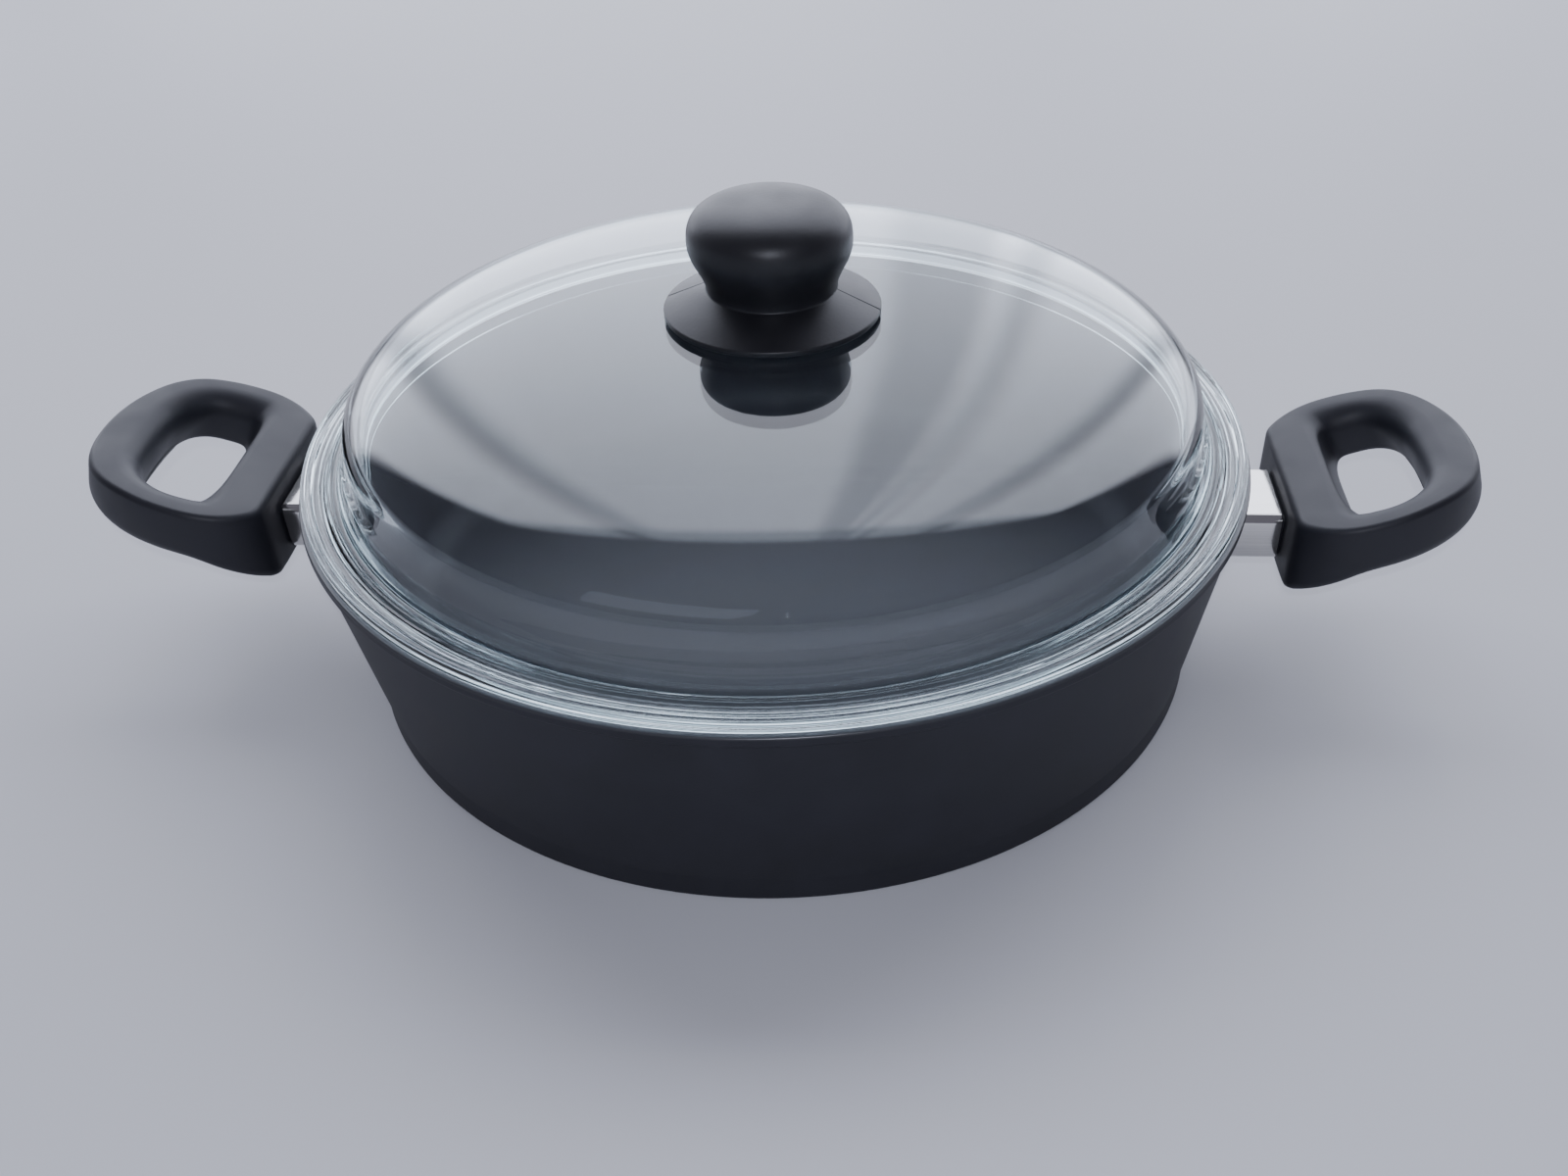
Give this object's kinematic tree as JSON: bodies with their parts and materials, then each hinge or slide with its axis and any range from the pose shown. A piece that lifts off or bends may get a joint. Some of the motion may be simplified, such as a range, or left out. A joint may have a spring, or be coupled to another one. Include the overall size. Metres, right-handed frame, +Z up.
{
  "type": "serving pan",
  "caption": "Round deep pan with a flared wall, D-loop side handles on polished steel sleeves and a lift-off domed glass lid with a flanged mushroom knob.",
  "frame": {"origin": "centre of the pan's underside, on the plane that it stands on", "axes": "+X through the middle of the right handle, +Z up along the pan's axis, +Y to the back"},
  "size_m": [0.4356, 0.29, 0.1446],
  "materials": {
    "pan_coating": "matt black non-stick coat on cast aluminium",
    "polished_steel": "polished stainless sheet",
    "handle_phenolic": "satin charcoal phenolic moulding",
    "knob_phenolic": "satin dark phenolic moulding",
    "screw_steel": "zinc-bright steel",
    "lid_glass": "clear pressed glass, bluish at its thick edge",
    "brass": "machined",
    "silicone": "matt dark silicone"
  },
  "bodies": {
    "pan": {"pan_body": "pan_coating", "left_flame_guard": "polished_steel", "right_flame_guard": "polished_steel", "left_handle": "handle_phenolic", "right_handle": "handle_phenolic", "left_handle_screw": "screw_steel", "right_handle_screw": "screw_steel", "left_screw_washer": "screw_steel", "right_screw_washer": "screw_steel"},
    "lid": {"lid_glass": "lid_glass", "lid_knob": "knob_phenolic", "knob_insert": "brass", "knob_seat_washer": "silicone", "glass_bush": "silicone", "inner_washer": "screw_steel", "knob_screw": "screw_steel"}
  },
  "joints": [
    {"name": "lid_lift", "type": "slide", "parent": "pan", "child": "lid", "axis": [0, 0, 1], "range_m": [0, 0.12]}
  ]
}
